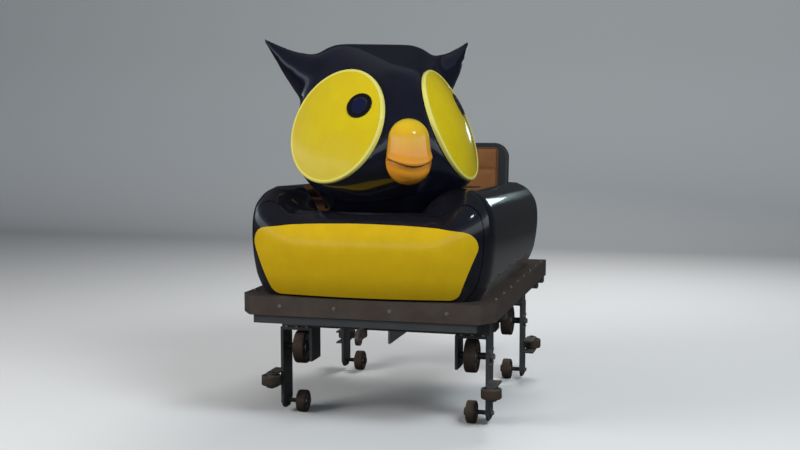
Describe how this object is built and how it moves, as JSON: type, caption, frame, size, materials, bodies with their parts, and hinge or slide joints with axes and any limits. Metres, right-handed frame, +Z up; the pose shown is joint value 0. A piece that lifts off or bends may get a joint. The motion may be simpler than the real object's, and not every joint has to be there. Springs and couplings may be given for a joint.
{
  "type": "roller coaster car",
  "caption": "Lead car of a small tubular-rail coaster: round tub body with an owl's head, bench seat, lap bar, wheel carriers round the rails and a drawbar.",
  "frame": {"origin": "on the floor under the up-stop wheels, in the middle of the car's length and width", "axes": "+X forward, +Y the car's left, +Z up"},
  "size_m": [1.8139, 1.1, 1.674],
  "materials": {
    "frame_paint": "worn dark grey paint over steel",
    "wheel_tread": "dark polyurethane tread on a steel hub",
    "bare_steel": "bare grey-brown steel, dull",
    "tube_steel": "polished steel tube",
    "shell_black": "gloss black glass-fibre moulding",
    "belly_yellow": "gloss golden yellow",
    "eye_yellow": "gloss lemon yellow",
    "pupil_black": "gloss black with a dark blue middle",
    "beak_orange": "gloss orange, yellower on top",
    "seat_plastic": "dark grey glass-fibre seat moulding",
    "cushion_vinyl": "brown vinyl over foam",
    "pad_foam": "black moulded foam sleeve",
    "floor_plate": "chequered aluminium plate"
  },
  "bodies": {
    "car": {"chassis": "frame_paint", "rear_axle": "frame_paint", "carrier_rear_left": "frame_paint", "carrier_rear_right": "frame_paint", "drive_fin": "bare_steel", "skirt_frame": "bare_steel", "floor": "floor_plate", "nose_shell": "shell_black", "side_shell_left": "shell_black", "side_shell_right": "shell_black", "rear_shell": "shell_black", "belly_panel": "belly_yellow", "deck": "shell_black", "head": "shell_black", "eye_left": "eye_yellow", "eye_right": "eye_yellow", "pupil_left": "pupil_black", "pupil_right": "pupil_black", "beak": "beak_orange", "seat_moulding": "seat_plastic", "seat_cushion": "cushion_vinyl", "back_cushion": "cushion_vinyl", "lap_bar_brackets": "frame_paint", "grab_handle": "tube_steel", "tow_eye": "bare_steel"},
    "front_axle_assembly": {"front_axle": "frame_paint", "carrier_front_left": "frame_paint", "carrier_front_right": "frame_paint"},
    "road_wheel_front_left": {"road_wheel_front_left": "wheel_tread"},
    "guide_wheel_front_left": {"guide_wheel_front_left": "wheel_tread"},
    "upstop_wheel_front_left": {"upstop_wheel_front_left": "wheel_tread"},
    "road_wheel_front_right": {"road_wheel_front_right": "wheel_tread"},
    "guide_wheel_front_right": {"guide_wheel_front_right": "wheel_tread"},
    "upstop_wheel_front_right": {"upstop_wheel_front_right": "wheel_tread"},
    "road_wheel_rear_left": {"road_wheel_rear_left": "wheel_tread"},
    "guide_wheel_rear_left": {"guide_wheel_rear_left": "wheel_tread"},
    "upstop_wheel_rear_left": {"upstop_wheel_rear_left": "wheel_tread"},
    "road_wheel_rear_right": {"road_wheel_rear_right": "wheel_tread"},
    "guide_wheel_rear_right": {"guide_wheel_rear_right": "wheel_tread"},
    "upstop_wheel_rear_right": {"upstop_wheel_rear_right": "wheel_tread"},
    "lap_bar": {"lap_bar": "tube_steel", "lap_bar_pad": "pad_foam"},
    "drawbar": {"drawbar": "frame_paint"}
  },
  "joints": [
    {"name": "front_axle_yaw", "type": "hinge", "parent": "car", "child": "front_axle_assembly", "pos_m": [0.45, 0, 0.495], "axis": [0, 0, 1], "range_deg": [-10, 10]},
    {"name": "road_wheel_front_left_spin", "type": "hinge", "parent": "front_axle_assembly", "child": "road_wheel_front_left", "pos_m": [0.45, 0.39, 0.3], "axis": [0, 1, 0], "continuous": true},
    {"name": "guide_wheel_front_left_spin", "type": "hinge", "parent": "front_axle_assembly", "child": "guide_wheel_front_left", "pos_m": [0.565, 0.498, 0.165], "axis": [0, 0, 1], "continuous": true},
    {"name": "upstop_wheel_front_left_spin", "type": "hinge", "parent": "front_axle_assembly", "child": "upstop_wheel_front_left", "pos_m": [0.45, 0.39, 0.05], "axis": [0, 1, 0], "continuous": true},
    {"name": "road_wheel_front_right_spin", "type": "hinge", "parent": "front_axle_assembly", "child": "road_wheel_front_right", "pos_m": [0.45, -0.39, 0.3], "axis": [0, 1, 0], "continuous": true},
    {"name": "guide_wheel_front_right_spin", "type": "hinge", "parent": "front_axle_assembly", "child": "guide_wheel_front_right", "pos_m": [0.565, -0.498, 0.165], "axis": [0, 0, 1], "continuous": true},
    {"name": "upstop_wheel_front_right_spin", "type": "hinge", "parent": "front_axle_assembly", "child": "upstop_wheel_front_right", "pos_m": [0.45, -0.39, 0.05], "axis": [0, 1, 0], "continuous": true},
    {"name": "road_wheel_rear_left_spin", "type": "hinge", "parent": "car", "child": "road_wheel_rear_left", "pos_m": [-0.45, 0.39, 0.3], "axis": [0, 1, 0], "continuous": true},
    {"name": "guide_wheel_rear_left_spin", "type": "hinge", "parent": "car", "child": "guide_wheel_rear_left", "pos_m": [-0.565, 0.498, 0.165], "axis": [0, 0, 1], "continuous": true},
    {"name": "upstop_wheel_rear_left_spin", "type": "hinge", "parent": "car", "child": "upstop_wheel_rear_left", "pos_m": [-0.45, 0.39, 0.05], "axis": [0, 1, 0], "continuous": true},
    {"name": "road_wheel_rear_right_spin", "type": "hinge", "parent": "car", "child": "road_wheel_rear_right", "pos_m": [-0.45, -0.39, 0.3], "axis": [0, 1, 0], "continuous": true},
    {"name": "guide_wheel_rear_right_spin", "type": "hinge", "parent": "car", "child": "guide_wheel_rear_right", "pos_m": [-0.565, -0.498, 0.165], "axis": [0, 0, 1], "continuous": true},
    {"name": "upstop_wheel_rear_right_spin", "type": "hinge", "parent": "car", "child": "upstop_wheel_rear_right", "pos_m": [-0.45, -0.39, 0.05], "axis": [0, 1, 0], "continuous": true},
    {"name": "lap_bar_lift", "type": "hinge", "parent": "car", "child": "lap_bar", "pos_m": [0.04, 0, 0.7], "axis": [0, 1, 0], "range_deg": [0, 46]},
    {"name": "drawbar_yaw", "type": "hinge", "parent": "car", "child": "drawbar", "pos_m": [-0.73, 0, 0.44], "axis": [0, 0, 1], "range_deg": [-25, 25]}
  ]
}
